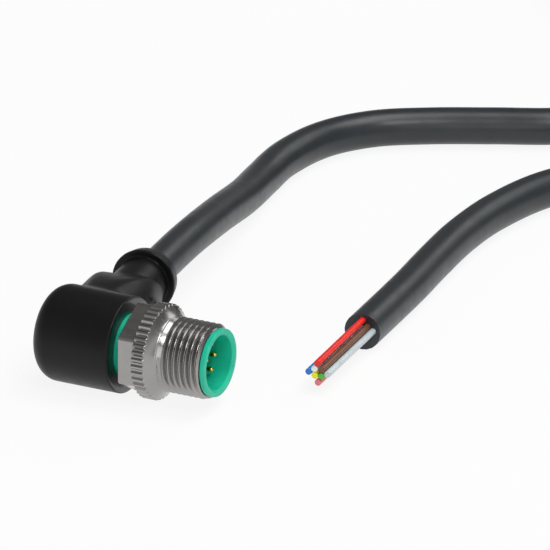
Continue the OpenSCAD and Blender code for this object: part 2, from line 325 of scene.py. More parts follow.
def turned_nickel(colour):
    """Nickel over turned brass: fine tool lines round the axis, soft stains, and painted shade in the
    grooves.
    """
    f = Finish("turned_nickel")
    f.set(Metallic=1.0)
    stained = f.cloudy(f.grain(0.0035, 4), colour, 0.95, 1.03)
    # Painted shade: the colour darkens in the thread's roots and between the grip's teeth, where faces
    # stand close.
    f.set(Base_Color=f.crevices(stained, 0.0004))
    f.set(Roughness=f.between(f.grain(0.0009, 3), 0.2, 0.28))
    lines = f.grain(0.0004, 3, 0.6, f.stretched((9.0, 0.25, 0.25)))
    f.set(Normal=f.bump(lines, 0.000001, 0.12))
    return f.material


def plated_gold(colour):
    """Hard gold over turned pins."""
    f = Finish("plated_gold")
    f.set(Metallic=1.0)
    cloud = f.grain(0.0006, 3)
    f.set(Base_Color=f.cloudy(cloud, colour, 0.86, 1.05))
    f.set(Roughness=f.between(cloud, 0.16, 0.24))
    lines = f.grain(0.0002, 2, 0.5, f.stretched((6.0, 0.3, 0.3)))
    f.set(Normal=f.bump(lines, 0.000002, 0.3))
    return f.material


def stranded_copper(colour):
    """Twisted strands, tinned with solder in places."""
    f = Finish("stranded_copper")
    f.set(Metallic=1.0)
    strands = f.bands(1600, "DIAGONAL")
    f.set(Base_Color=f.cloudy(strands, colour, 0.6, 1.0))
    f.set(Roughness=f.between(f.grain(0.0005), 0.25, 0.4))
    f.set(Normal=f.bump(strands, 0.00003, 0.6))
    return f.material


def cable_jacket(colour):
    """Extruded jacket: satin, with faint drag lines and a slight mottling."""
    f = Finish("cable_jacket")
    f.set(Metallic=0.0, IOR=1.5)
    f.set(Base_Color=f.cloudy(f.grain(0.004, 4), colour, 0.9, 1.12))
    f.set(Roughness=f.between(f.grain(0.0015, 4), 0.32, 0.4))
    fine = f.bump(f.grain(0.0003, 4), 0.000005, 0.5)
    f.set(Normal=f.bump(f.grain(0.0025, 3), 0.00003, 0.25, fine))
    return f.material


def core_insulation(name, colour):
    """Thin glossy insulation on one core."""
    f = Finish(name)
    f.set(Metallic=0.0, IOR=1.5)
    cloud = f.grain(0.002, 3)
    f.set(Base_Color=f.cloudy(cloud, colour, 0.92, 1.04))
    f.set(Roughness=f.between(cloud, 0.32, 0.42))
    f.set(Normal=f.bump(f.grain(0.0004, 3), 0.000003, 0.2))
    return f.material


def woven_strap(colour):
    """Hook-and-loop strap: a plain weave under a fuzz of loops."""
    f = Finish("woven_strap")
    f.set(Metallic=0.0, Sheen_Weight=0.5, Sheen_Roughness=0.5)
    weave = f.maths("MULTIPLY", f.bands(620, "Z", 0.6), f.bands(480, "DIAGONAL", 0.6))
    f.set(Base_Color=f.tones(weave, shade(colour, 0.5), shade(colour, 1.8), 0.1, 0.8))
    f.set(Roughness=f.between(f.grain(0.0004), 0.75, 0.95))
    fuzz = f.bump(f.grain(0.00025, 5, 0.7), 0.00008, 0.6)
    f.set(Normal=f.bump(weave, 0.00012, 0.6, fuzz))
    return f.material


FINISHES = {
    "housing_black": (moulded_black, "housing"),
    "carrier_teal": (carrier_teal, "carrier"),
    "nickel": (turned_nickel, "nickel"),
    "gold": (plated_gold, "gold"),
    "copper": (stranded_copper, "copper"),
    "jacket_grey": (cable_jacket, "jacket"),
    "tie_black": (woven_strap, "tie"),
}
MADE = {}


def finish_of(slot):
    """The finish for a slot of the record, made when it is first asked for."""
    if slot not in MADE:
        colours = settings_of("colours")
        if slot in FINISHES:
            make, key = FINISHES[slot]
            MADE[slot] = make(tuple(getattr(colours, key)))
        else:
            MADE[slot] = core_insulation(slot, tuple(getattr(colours, slot)))
    return MADE[slot]


# Shapes


def placed(name, data):
    """A new object in the scene."""
    made = bpy.data.objects.new(name, data)
    bpy.context.scene.collection.objects.link(made)
    return made


def new_piece(name, mesh, slot, body):
    """Puts a mesh in the scene with its finish, riding on a body of the frame."""
    piece = placed(name, mesh)
    dress(piece, slot)
    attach(piece, body)
    return piece


def dress(piece, slot):
    """Gives a piece the finish of a slot of the record."""
    piece.data.materials.clear()
    piece.data.materials.append(finish_of(slot))


def smooth(mesh, angle=35):
    """Smooth faces that meet at less than an angle."""
    mesh.shade_smooth()
    mesh.set_sharp_from_angle(angle=math.radians(angle))


def mesh_of(name, points, faces):
    """A mesh from points in millimetres."""
    mesh = bpy.data.meshes.new(name)
    mesh.from_pydata([tuple(c * MM for c in point) for point in points], [], faces)
    mesh.validate()
    mesh.update()
    return mesh


def mesh_from(shape, name):
    """A mesh from a worked shape, which is then let go."""
    mesh = bpy.data.meshes.new(name)
    shape.to_mesh(mesh)
    shape.free()
    return mesh


def ring_faces(rings, sides):
    """Faces between each ring of points and the next, for points numbered ring by ring."""
    faces = []
    for i in range(rings - 1):
        for k in range(sides):
            a = i * sides + k
            b = i * sides + (k + 1) % sides
            faces.append([a, b, b + sides, a + sides])
    return faces


def softened(corners, steps=4):
    """An outline of (x, radius, edge radius) corners, rounded where the edge radius isn't nought."""
    outline = []
    for i, (x, r, edge) in enumerate(corners):
        here = Vector((x, r))
        if edge <= 0:
            outline.append(here)
            continue
        back = Vector(corners[i - 1][:2]) - here
        ahead = Vector(corners[i + 1][:2]) - here
        reach = edge / math.tan(back.angle(ahead) / 2)
        reach = min(reach, 0.49 * back.length, 0.49 * ahead.length)
        a = here + back.normalized() * reach
        b = here + ahead.normalized() * reach
        for k in range(steps + 1):
            t = k / steps
            outline.append((1 - t) ** 2 * a + 2 * t * (1 - t) * here + t * t * b)
    return outline


def turned(name, outline, sides, centre=(0.0, 0.0)):
    """A mesh turned about a line parallel to X, from points of x and radius."""
    points = []
    rings = []
    for x, r in outline:
        if r < 1e-6:
            rings.append([len(points)] * sides)
            points.append((x, centre[0], centre[1]))
            continue
        rings.append(list(range(len(points), len(points) + sides)))
        for k in range(sides):
            turn = 2 * math.pi * k / sides
            points.append((x, centre[0] + r * math.cos(turn), centre[1] + r * math.sin(turn)))
    faces = []
    for here, there in zip(rings, rings[1:]):
        for k in range(sides):
            n = (k + 1) % sides
            face = list(dict.fromkeys((here[k], here[n], there[n], there[k])))
            if len(face) > 2:
                faces.append(face)
    mesh = mesh_of(name, points, faces)
    face_outward(mesh)
    return mesh


def face_outward(mesh):
    """Turns every face of a closed mesh outward."""
    shape = bmesh.new()
    shape.from_mesh(mesh)
    bmesh.ops.recalc_face_normals(shape, faces=shape.faces)
    shape.to_mesh(mesh)
    shape.free()


def combine(mesh, other, operation):
    """Joins a second closed mesh to the first, or cuts it out of it."""
    first = placed("first", mesh)
    second = placed("second", other)
    step = first.modifiers.new("combine", "BOOLEAN")
    step.operation = operation
    step.solver = "EXACT"
    step.object = second
    graph = bpy.context.evaluated_depsgraph_get()
    result = bpy.data.meshes.new_from_object(first.evaluated_get(graph))
    for piece in (first, second):
        bpy.data.objects.remove(piece)
    if not result.polygons:
        raise RuntimeError("a join or a cut left nothing of " + mesh.name)
    result.name = mesh.name
    return result


def tube(path, radius, sides, edge=0.0):
    """Points and faces of a round tube along a path, with its end edges softened."""
    path = [Vector(point) for point in path]
    stations = []
    for i, point in enumerate(path):
        heading = (path[min(i + 1, len(path) - 1)] - path[max(i - 1, 0)]).normalized()
        stations.append((point, heading, radius))
    if edge > 0:
        start, heading, _ = stations[0]
        finish, way, _ = stations[-1]
        stations[0] = (start + heading * edge, heading, radius)
        stations[-1] = (finish - way * edge, way, radius)
        for k in (1, 2, 3):
            turn = math.pi / 2 * k / 3
            inset = edge * (1 - math.cos(turn))
            out = edge * (1 - math.sin(turn))
            stations.insert(0, (start + heading * out, heading, radius - inset))
            stations.append((finish - way * out, way, radius - inset))
    points = []
    for point, heading, r in stations:
        side = heading.cross(Vector((0, 0, 1)))
        side = side.normalized() if side.length > 1e-6 else Vector((1, 0, 0))
        up = side.cross(heading)
        for k in range(sides):
            turn = 2 * math.pi * k / sides
            points.append(point + r * (math.cos(turn) * side + math.sin(turn) * up))
    faces = [list(range(sides))[::-1]] + ring_faces(len(stations), sides)
    faces.append(list(range(len(points) - sides, len(points))))
    return points, faces


SLIDES = 4
NUDGE = 0.01
LEAST_SLOPE = 0.2


def skin(name, field, low, high, step):
    """A closed mesh where a field of millimetre points changes sign.

    Each crossed cell of a grid gets one point, which then slides onto the exact surface."""
    lines = [np.arange(low[i], high[i] + step, step) for i in range(3)]
    grid = np.stack(np.meshgrid(*lines, indexing="ij"), -1)
    shape = grid.shape[:3]
    value = field(grid.reshape(-1, 3)).reshape(shape)
    inside = value < 0
    corners = [(i, j, k) for i in (0, 1) for j in (0, 1) for k in (0, 1)]

    def at(array, corner):
        return array[tuple(slice(c, n - 1 + c) for c, n in zip(corner, shape))]

    count = sum(at(inside, corner).astype(np.int8) for corner in corners)
    cells = np.argwhere((count > 0) & (count < 8))
    number = -np.ones([n - 1 for n in shape], dtype=np.int64)
    number[tuple(cells.T)] = np.arange(len(cells))
    total = np.zeros((len(cells), 3))
    hits = np.zeros(len(cells))
    for a in corners:
        for axis in range(3):
            if a[axis]:
                continue
            b = list(a)
            b[axis] = 1
            ia, ib = cells + a, cells + b
            va, vb = value[tuple(ia.T)], value[tuple(ib.T)]
            crossed = (va < 0) != (vb < 0)
            part = np.where(crossed, va / np.where(crossed, va - vb, 1), 0)
            place = ia.astype(float)
            place[:, axis] += part
            total += place * crossed[:, None]
            hits += crossed
    points = total / hits[:, None] * step + np.array(low)
    faces = []
    for axis in range(3):
        u, v = (axis + 1) % 3, (axis + 2) % 3
        first = [slice(None)] * 3
        second = [slice(None)] * 3
        first[axis], second[axis] = slice(0, -1), slice(1, None)
        crossed = inside[tuple(first)] != inside[tuple(second)]
        edges = np.argwhere(crossed)
        edges = edges[(edges[:, u] > 0) & (edges[:, v] > 0)]
        edges = edges[(edges[:, u] < shape[u] - 1) & (edges[:, v] < shape[v] - 1)]
        leaving = inside[tuple(edges.T)]
        around = []
        for du, dv in ((0, 0), (-1, 0), (-1, -1), (0, -1)):
            cell = edges.copy()
            cell[:, u] += du
            cell[:, v] += dv
            around.append(number[tuple(cell.T)])
        quads = np.stack(around, 1)
        quads[~leaving] = quads[~leaving][:, ::-1]
        faces.append(quads)
    faces = np.concatenate(faces)
    for _ in range(SLIDES):
        slope = np.zeros_like(points)
        for axis in range(3):
            shift = np.zeros(3)
            shift[axis] = NUDGE
            slope[:, axis] = (field(points + shift) - field(points - shift)) / (2 * NUDGE)
        size = np.maximum((slope ** 2).sum(1), LEAST_SLOPE)
        move = (field(points) / size)[:, None] * slope
        far = np.maximum(np.linalg.norm(move, axis=1) / (0.5 * step), 1)
        points = points - move / far[:, None]
    mesh = mesh_of(name, points.tolist(), faces.tolist())
    face_outward(mesh)
    return mesh


def round_corner(u, v, edge):
    """Distance to the quarter where u and v are both below nought, with a rounded corner."""
    outside = np.hypot(np.maximum(u + edge, 0), np.maximum(v + edge, 0))
    return np.minimum(np.maximum(u + edge, v + edge), 0) + outside - edge


def joined(a, b, width):
    """Union of two fields with a fillet about as wide as width."""
    h = np.clip(0.5 + 0.5 * (b - a) / width, 0, 1)
    return b * (1 - h) + a * h - width * h * (1 - h)


def step_up(value, start, end):
    """Goes smoothly from 0 to 1 as value goes from start to end."""
    t = np.clip((value - start) / (end - start), 0, 1)
    return t * t * (3 - 2 * t)


# Cable


def outlet_frame():
    """Origin of the cable outlet's axis, its direction, and the direction of its front side."""
    sizes = settings_of("housing")
    lean = sizes.outlet_lean
    origin = Vector((HOUSING_FRONT - sizes.outlet_back / MM, 0, 0))
    along = Vector((-math.sin(lean), math.cos(lean), 0))
    ahead = Vector((math.cos(lean), math.sin(lean), 0))
    return origin, along, ahead


# The cable's way: the lead sinks from the thread's axis and the tail from the hank's top layer, and
# where they lie, heights are counted from their rest on the floor
OUTLET_INSIDE = 18
STRAIGHT_END = 12
LEAD_SINKS = ((-28.5, 47, -0.3), (-30.8, 59.5, -1.8))
LEAD_LIES = (
    (-33.4, 73, 0.9), (-35.6, 84, 0), (-36.4, 93, 0), (-34.8, 103, 0), (-30, 110.7, 0),
    (-22.5, 116.1, 0), (-13.5, 120.9, 0), (-4, 125.9, 0), (5.5, 134.8, 0), (9.3, 147.1, 0),
    (6.4, 159.7, 0), (-2.5, 169.2, 0), (-11, 174.6, 0.2))
TAIL_SINKS = ((26.6, 201, -0.7), (26.4, 187, -5.6), (26, 173, -11.7))
TAIL_LIES = (
    (25.1, 159, 2.3), (23.4, 146, 0), (20.6, 133, 0), (16.8, 120.6, 0), (11.9, 109.6, 0),
    (6.5, 99.6, 0), (4.1, 87.5, 0), (4, 76, 0), (5.3, 64, 0), (7, 52, 0), (9.2, 32.3, 0))


def raised(route, height):
    """A route's points, with their heights counted from a level."""
    return [Vector((x, y, z + height)) for x, y, z in route]


def lying():
    """Height of the cable's centre where it lies on the floor."""
    return FLOOR_Z + settings_of("cable").cable_d / 2 / MM


def outlet_mouth():
    """Distance along the outlet's axis to the end of the collar."""
    sizes = settings_of("housing")
    return (sizes.collar_at + sizes.collar_len) / MM


def lead_route():
    """Route from inside the outlet down to the floor and on to the hank."""
    origin, along, _ = outlet_frame()
    mouth = outlet_mouth()
    inside = [origin + s * along for s in (OUTLET_INSIDE, mouth, mouth + STRAIGHT_END)]
    return inside + raised(LEAD_SINKS, 0) + raised(LEAD_LIES, lying())


# The hank: two folds and two straight runs a turn, in layers that climb
HANK_AT = Vector((-4, 221.8, 0))
HANK_STEPS = 123
HANK_LAYERS = 4
TURNS_A_LAYER = 1.92
STEPS_A_TURN = 16
CLIMB_TURNS = 0.35
ROUND_OFF = 0.12
SIDE_GAP = 0.2
FOLD_R = 18.4
HALF_RUN = 16
TIE_THICK = 0.6


def held(value, low, high):
    """The value, kept between two others."""
    return min(max(value, low), high)


def hank_point(step):
    """Centre of the cable in the hank: clockwise, inward in one layer and outward in the next.

    A turn has sixteen steps: twelve of 30 degrees round the two folds, and two along each run."""
    d = settings_of("cable").cable_d / MM
    turns = step / STEPS_A_TURN
    nearest = held(round(turns / TURNS_A_LAYER), 1, HANK_LAYERS - 1)
    away = math.hypot(turns - nearest * TURNS_A_LAYER, ROUND_OFF)
    if nearest % 2 == 0:
        away = TURNS_A_LAYER - away
    radius = FOLD_R + (d + SIDE_GAP) * away
    climbed = sum(
        float(step_up(turns, k * TURNS_A_LAYER - CLIMB_TURNS, k * TURNS_A_LAYER + CLIMB_TURNS))
        for k in range(1, HANK_LAYERS))
    place = (step + 1) % STEPS_A_TURN
    turned = held(place, 0, 3) + held(place - 5, 0, 6) + held(place - 13, 0, 3)
    angle = math.radians(-90 - 30 * turned)
    along_run = HALF_RUN * (held(place - 4, -1, 1) - held(place - 12, -1, 1) - 1)
    return HANK_AT + Vector((
        radius * math.cos(angle),
        radius * math.sin(angle) + along_run,
        FLOOR_Z + TIE_THICK + d / 2 + d * climbed))


def tail_route():
    """Route from the hank's top down to the floor and on to the open end."""
    top = lying() + TIE_THICK + settings_of("cable").cable_d / MM * (HANK_LAYERS - 1)
    return raised(TAIL_SINKS, top) + raised(TAIL_LIES, lying())


def cable_route():
    """The whole cable's centre line, from inside the outlet to the cut end."""
    hank = [hank_point(step) for step in range(HANK_STEPS + 1)]
    return lead_route() + hank + tail_route()


def open_end():
    """Centre of the jacket's cut face and the direction in which the bared cores point."""
    route = tail_route()
    return route[-1], (route[-1] - route[-2]).normalized()


# The bared cores by their places across the cut face, and their bend inside the housing
BARED_PLACES = (
    (-0.42, 0.94), (0.86, 0.95), (0.75, -0.18), (-0.37, -0.17),
    (1.75, 0.3), (0.17, -1.26), (-1.4, 0.33), (0.05, 1.95))
BARED_STEPS = 6
INTO_JACKET = 1.5
CUT_EDGE = 0.07
CORE_BEND_R = 4.6
CORE_PACK = 0.62
CORE_STEPS = 8
BEHIND_PIN = 0.4


class PLUG_OT_cable(bpy.types.Operator):
    """Lays the jacketed cable from the outlet to its open end"""

    bl_idname = "plug.cable"
    bl_label = "Cable"

    def execute(self, context):
        sizes = settings_of("cable")
        route = cable_route()
        low = lying()
        curve = bpy.data.curves.new("cable_jacket", "CURVE")
        curve.dimensions = "3D"
        curve.resolution_u = 10
        curve.bevel_depth = sizes.cable_d / 2
        curve.bevel_resolution = 8
        curve.use_fill_caps = True
        spline = curve.splines.new("BEZIER")
        spline.bezier_points.add(len(route) - 1)
        for i, point in enumerate(route):
            before = route[max(i - 1, 0)]
            after = route[min(i + 1, len(route) - 1)]
            way = (after - before).normalized()
            left = point - way * (point - before).length / 3
            right = point + way * (after - point).length / 3
            left.z = max(left.z, low)
            right.z = max(right.z, low)
            knot = spline.bezier_points[i]
            knot.handle_left_type = "FREE"
            knot.handle_right_type = "FREE"
            knot.co = point * MM
            knot.handle_left = left * MM
            knot.handle_right = right * MM
        jacket = new_piece("cable_jacket", curve, "jacket_grey", "plug")
        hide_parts("cable_lead", "cable_hank", "cable_tail")
        origin, along, _ = outlet_frame()
        (origin + along * outlet_mouth()) * MM
        return {"FINISHED"}


class PLUG_OT_cores(bpy.types.Operator):
    """Makes the eight insulated cores: bent in the housing, and bared at the open end"""

    bl_idname = "plug.cores"
    bl_label = "Cores"

    def execute(self, context):
        sizes = settings_of("cable")
        radius = sizes.core_d / 2 / MM
        cut_face, way = open_end()
        side = Vector((0, 0, 1)).cross(way)
        for index, name in enumerate(CORE_COLOURS):
            across, up = BARED_PLACES[index]
            start = cut_face + across * side + Vector((0, 0, up))
            bared = [
                start + way * (sizes.bared_len / MM * k / BARED_STEPS) for k in range(BARED_STEPS + 1)]
            bared[0] -= way * INTO_JACKET
            points, faces = tube(core_bend(index), radius, 16)
            more, other = tube(bared, radius, 24, edge=CUT_EDGE)
            faces += [[i + len(points) for i in face] for face in other]
            mesh = mesh_of("core_wire_" + name, points + more, faces)
            smooth(mesh)
            wire = new_piece("core_wire_" + name, mesh, "core_" + name, "plug")
            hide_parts("core_" + name)
        return {"FINISHED"}


def core_bend(index):
    """Path of a core from its pin round into the outlet."""
    origin, along, _ = outlet_frame()
    turn = math.pi / 2 - settings_of("housing").outlet_lean
    run_in = CORE_BEND_R * math.tan(turn / 2)
    _, y, z = middle("pin_" + str(index + 1))
    path = [Vector((PIN_BACK - BEHIND_PIN, y, z))]
    for k in range(CORE_STEPS + 1):
        angle = turn * k / CORE_STEPS
        squeeze = 1 - (1 - CORE_PACK) * k / CORE_STEPS
        r = CORE_BEND_R - squeeze * y
        path.append(Vector((
            origin.x + run_in - r * math.sin(angle), CORE_BEND_R - r * math.cos(angle), squeeze * z)))
    path.append(path[-1] + (OUTLET_INSIDE - run_in) * along)
    return path


# The strap's loop, rows and edges
STRAP_INSET = 0.3
STRAP_CORNER = 2.9
STRAP_ARC_STEPS = 8
STRAP_BACK_OFF = 0.1
STRAP_ROWS = 9
STRAP_THICK = 0.55
STRAP_EDGE = 0.12


class PLUG_OT_strap(bpy.types.Operator):
    """Wraps the strap round both runs of the hank"""

    bl_idname = "plug.strap"
    bl_label = "Hank Strap"

    def execute(self, context):
        low, high = (Vector(corner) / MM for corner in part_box("hank_tie"))
        centre = (low + high) / 2
        across = (high.x - low.x) / 2 - STRAP_INSET - STRAP_CORNER
        upward = (high.z - low.z) / 2 - STRAP_INSET - STRAP_CORNER
        loop = []
        corners = (
            (across, upward, 0), (-across, upward, 90), (-across, -upward, 180), (across, -upward, 270))
        for x, z, start in corners:
            for k in range(STRAP_ARC_STEPS + 1):
                angle = math.radians(start + 90 * k / STRAP_ARC_STEPS)
                loop.append((x + STRAP_CORNER * math.cos(angle), z + STRAP_CORNER * math.sin(angle)))
        front, back = low.y + STRAP_BACK_OFF, high.y - STRAP_BACK_OFF
        points = [
            (centre.x + x, front + (back - front) * j / (STRAP_ROWS - 1), centre.z + z)
            for j in range(STRAP_ROWS) for x, z in loop]
        mesh = mesh_of("hank_strap", points, ring_faces(STRAP_ROWS, len(loop)))
        smooth(mesh)
        strap = new_piece("hank_strap", mesh, "tie_black", "plug")
        shell = strap.modifiers.new("thickness", "SOLIDIFY")
        shell.thickness = STRAP_THICK * MM
        shell.offset = 0
        edges = strap.modifiers.new("edges", "BEVEL")
        edges.width = STRAP_EDGE * MM
        edges.segments = 2
        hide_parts("hank_tie")
        return {"FINISHED"}


# Coupling screw


# One pitch of the thread, from root to crest and back, as shares of the pitch and of the depth
THREAD_PROFILE = (
    (0.0, 0.0), (0.08, 0.06), (0.16, 0.22), (0.26, 0.47), (0.36, 0.73), (0.43, 0.92), (0.47, 1.0),
    (0.53, 1.0), (0.57, 0.92), (0.64, 0.73), (0.74, 0.47), (0.84, 0.22), (0.92, 0.06))
THREAD_SIDES = 128
CREST_AT = 0.42
SPARE_TURNS = 3
BEVEL_CUT = 0.02
INTO_FLARE = 0.05


def thread_mesh():
    """The helical thread as a closed rod, from the end of the flare to the front bevel."""
    sizes = settings_of("screw")
    pitch = sizes.pitch / MM
    root = THREAD_R - sizes.thread_depth / MM
    sides = THREAD_SIDES
    start = -THREAD_LEN - INTO_FLARE
    turns = math.ceil((SCREW_FRONT - start) / pitch) + SPARE_TURNS
    shape = bmesh.new()
    grid = []
    for turn in range(turns):
        for part, height in THREAD_PROFILE:
            row = []
            for k in range(sides):
                x = start + pitch * (turn - SPARE_TURNS / 2 + part + k / sides + CREST_AT)
                bevel = THREAD_R + BEVEL_CUT - max(0.0, x)
                r = min(root + (THREAD_R - root) * height, bevel)
                angle = 2 * math.pi * k / sides
                place = Vector((x, r * math.cos(angle), r * math.sin(angle)))
                row.append(shape.verts.new(place * MM))
            grid.append(row)
    step = len(THREAD_PROFILE)
    for i in range(len(grid) - 1):
        for k in range(sides):
            if k < sides - 1:
                shape.faces.new((grid[i][k], grid[i][k + 1], grid[i + 1][k + 1], grid[i + 1][k]))
            elif i + step + 1 < len(grid):
                shape.faces.new((grid[i][k], grid[i + step][0], grid[i + step + 1][0], grid[i + 1][k]))
    for x, way in ((start, -1), (SCREW_FRONT, 1)):
        everything = shape.verts[:] + shape.edges[:] + shape.faces[:]
        bmesh.ops.bisect_plane(
            shape, geom=everything, plane_co=(x * MM, 0, 0), plane_no=(way, 0, 0), clear_outer=True)
        rim = [edge for edge in shape.edges if edge.is_boundary
               and all(abs(v.co.x - x * MM) < 1e-7 for v in edge.verts)]
        bmesh.ops.contextual_create(shape, geom=rim)
    bmesh.ops.recalc_face_normals(shape, faces=shape.faces)
    return mesh_from(shape, "screw_thread")


# One tooth of the grip and the gap beside it, then the edges of the grip, flare, core and bore
TOOTH = (1, 1, 1, 0.5, 0, 0, 0, 0.5)
TOOTH_BEVEL = ((0.0, 0.12), (0.06, 0.03), (0.14, 0.0))
HEX_EDGE = 0.06
HEX_CORNER_CUT = 0.14
RIDGE_STEP = 0.02
FLARE_STEPS = 22
FLARE_BULGE = 0.32
FLARE_FOOT = 0.12
RUN_OUT_LEN = 0.2
RUN_OUT_DROP = 0.17
CORE_INTO_THREAD = 0.9
CORE_UNDER_ROOT = 0.05
BORE_BACK_BEVEL = 0.08
BORE_FRONT_BEVEL = 0.15


def grip_mesh():
    """Hexagon, serrated grip, flare and the core that carries the thread, as one closed mesh."""
    sizes = settings_of("screw")
    sides = sizes.teeth * len(TOOTH)
    turn = 2 * np.pi * np.arange(sides) / sides
    outer = sizes.grip_d / 2 / MM
    ridge = outer - (1 - np.tile(TOOTH, sizes.teeth)) * sizes.tooth_depth / MM
    flat = sizes.hex_af / 2 / MM
    sixth = np.pi / 3
    hexagon = flat / np.cos((turn + sixth / 2) % sixth - sixth / 2)
    hexagon = np.minimum(hexagon, flat / math.cos(math.pi / 6) - HEX_CORNER_CUT)
    hex_end = SCREW_BACK + sizes.hex_len / MM
    grip_end = hex_end + sizes.grip_len / MM
    flare = sizes.flare_len / MM
    rows = [
        (SCREW_BACK, hexagon - HEX_EDGE), (SCREW_BACK + HEX_EDGE, hexagon), (hex_end, hexagon)]
    rows += [(hex_end + ahead, ridge - below) for ahead, below in TOOTH_BEVEL]
    rows.append((grip_end - RIDGE_STEP, ridge))
    foot_r = THREAD_R + FLARE_FOOT
    for k in range(FLARE_STEPS + 1):
        rise = 1 - k / FLARE_STEPS
        curve = foot_r + (outer - foot_r) * (FLARE_BULGE * rise ** 2 + (1 - FLARE_BULGE) * rise)
        rows.append((grip_end + flare * k / FLARE_STEPS, np.minimum(ridge, curve)))
    for part in (0.15, 0.35, 0.65, 0.85, 1):
        drop = RUN_OUT_DROP * part ** 2 * (3 - 2 * part)
        rows.append((grip_end + flare + RUN_OUT_LEN * part, np.full(sides, foot_r - drop)))
    core_r = THREAD_R - sizes.thread_depth / MM - CORE_UNDER_ROOT
    rows.append((CORE_INTO_THREAD - THREAD_LEN, np.full(sides, core_r)))
    points = [
        (x, r * math.cos(angle), r * math.sin(angle))
        for x, radii in rows for r, angle in zip(radii, turn)]
    faces = [list(range(sides))] + ring_faces(len(rows), sides)
    faces.append(list(range(len(points) - sides, len(points))))
    mesh = mesh_of("screw_grip", points, faces)
    face_outward(mesh)
    return mesh


class PLUG_OT_screw(bpy.types.Operator):
    """Turns the coupling screw with its thread, flare, serrated grip and hexagon"""

    bl_idname = "plug.screw"
    bl_label = "Coupling Screw"

    def execute(self, context):
        sizes = settings_of("screw")
        bore_r = sizes.bore_r / MM
        past_back, past_front = SCREW_BACK - 1, SCREW_FRONT + 1
        bore = turned("bore", [
            (past_back, 0), (past_back, bore_r + 1 + BORE_BACK_BEVEL),
            (SCREW_BACK + BORE_BACK_BEVEL, bore_r), (SCREW_FRONT - BORE_FRONT_BEVEL, bore_r),
            (past_front, bore_r + 1 + BORE_FRONT_BEVEL), (past_front, 0)], THREAD_SIDES)
        solid = combine(grip_mesh(), thread_mesh(), "UNION")
        solid = combine(solid, bore, "DIFFERENCE")
        solid.name = "screw_body"
        smooth(solid, 32)
        screw = new_piece("screw_body", solid, "nickel", "screw")
        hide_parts("coupling_screw")
        return {"FINISHED"}


# Contact carrier and pins


# The carrier's mouth, the seats and solder cups of the pins, and the key's rib
SCREW_PLAY = 0.05
MOUTH_BEVEL = 0.3
PIN_BODY_R = 0.5
SINK_R = 0.74
SINK_DEPTH = 0.12
CUP_R = 0.65
CUP_BORE_R = 0.42
CUP_DEPTH = 1.2
KEY_BACK_OFF = 0.6
KEY_ROOT = 0.5
KEY_INTO_WALL = 0.2
KEY_EDGE = 0.12
DOME_STEPS = 8


class PLUG_OT_carrier(bpy.types.Operator):
    """Makes the contact carrier with its rim, mating cavity, key and boss"""

    bl_idname = "plug.carrier"
    bl_label = "Contact Carrier"

    def execute(self, context):
        sizes = settings_of("carrier")
        boss_r, shank_r = sizes.boss_d / 2 / MM, sizes.shank_d / 2 / MM
        rim_r, cavity_r = sizes.rim_d / 2 / MM, sizes.cavity_d / 2 / MM
        rim_back = RIM_FRONT - sizes.rim_len / MM
        floor = RIM_FRONT - sizes.cavity_depth / MM
        boss_front = SCREW_BACK - SCREW_PLAY
        outline = softened([
            (CARRIER_BACK, 0, 0), (CARRIER_BACK, boss_r, 0.1), (boss_front, boss_r, 0.18),
            (boss_front, shank_r, 0.03), (rim_back, shank_r, 0.03), (rim_back, rim_r, 0.1),
            (RIM_FRONT, rim_r, 0.14), (RIM_FRONT, cavity_r + MOUTH_BEVEL, 0.06),
            (RIM_FRONT - MOUTH_BEVEL, cavity_r, 0.08), (floor, cavity_r, 0.15), (floor, 0, 0)])
        solid = turned("carrier_body", outline, sides=160)
        solid = combine(solid, self.key(sizes, floor, cavity_r), "UNION")
        for number in range(1, 9):
            _, y, z = middle("pin_" + str(number))
            hole = turned("hole", [
                (CARRIER_BACK - 1, 0), (CARRIER_BACK - 1, PIN_BODY_R), (floor - SINK_DEPTH, PIN_BODY_R),
                (floor + SINK_DEPTH, SINK_R), (floor + SINK_DEPTH, 0)], sides=32, centre=(y, z))
            solid = combine(solid, hole, "DIFFERENCE")
        smooth(solid, 32)
        carrier = new_piece("carrier_body", solid, "carrier_teal", "plug")
        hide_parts("contact_carrier")
        return {"FINISHED"}

    def key(self, sizes, floor, cavity_r):
        """The key's rib with rounded edges, on the side that is away from the cable."""
        width, height = sizes.key_w / MM, sizes.key_h / MM
        shape = bmesh.new()
        bmesh.ops.create_cube(shape, size=1)
        for v in shape.verts:
            v.co.x = (floor - KEY_ROOT if v.co.x < 0 else RIM_FRONT - KEY_BACK_OFF) * MM
            v.co.y = (-cavity_r - KEY_INTO_WALL if v.co.y < 0 else height - cavity_r) * MM
            v.co.z *= width * MM
        bmesh.ops.bevel(
            shape, geom=shape.edges[:], offset=KEY_EDGE * MM, segments=3, profile=0.5, affect="EDGES")
        return mesh_from(shape, "key")


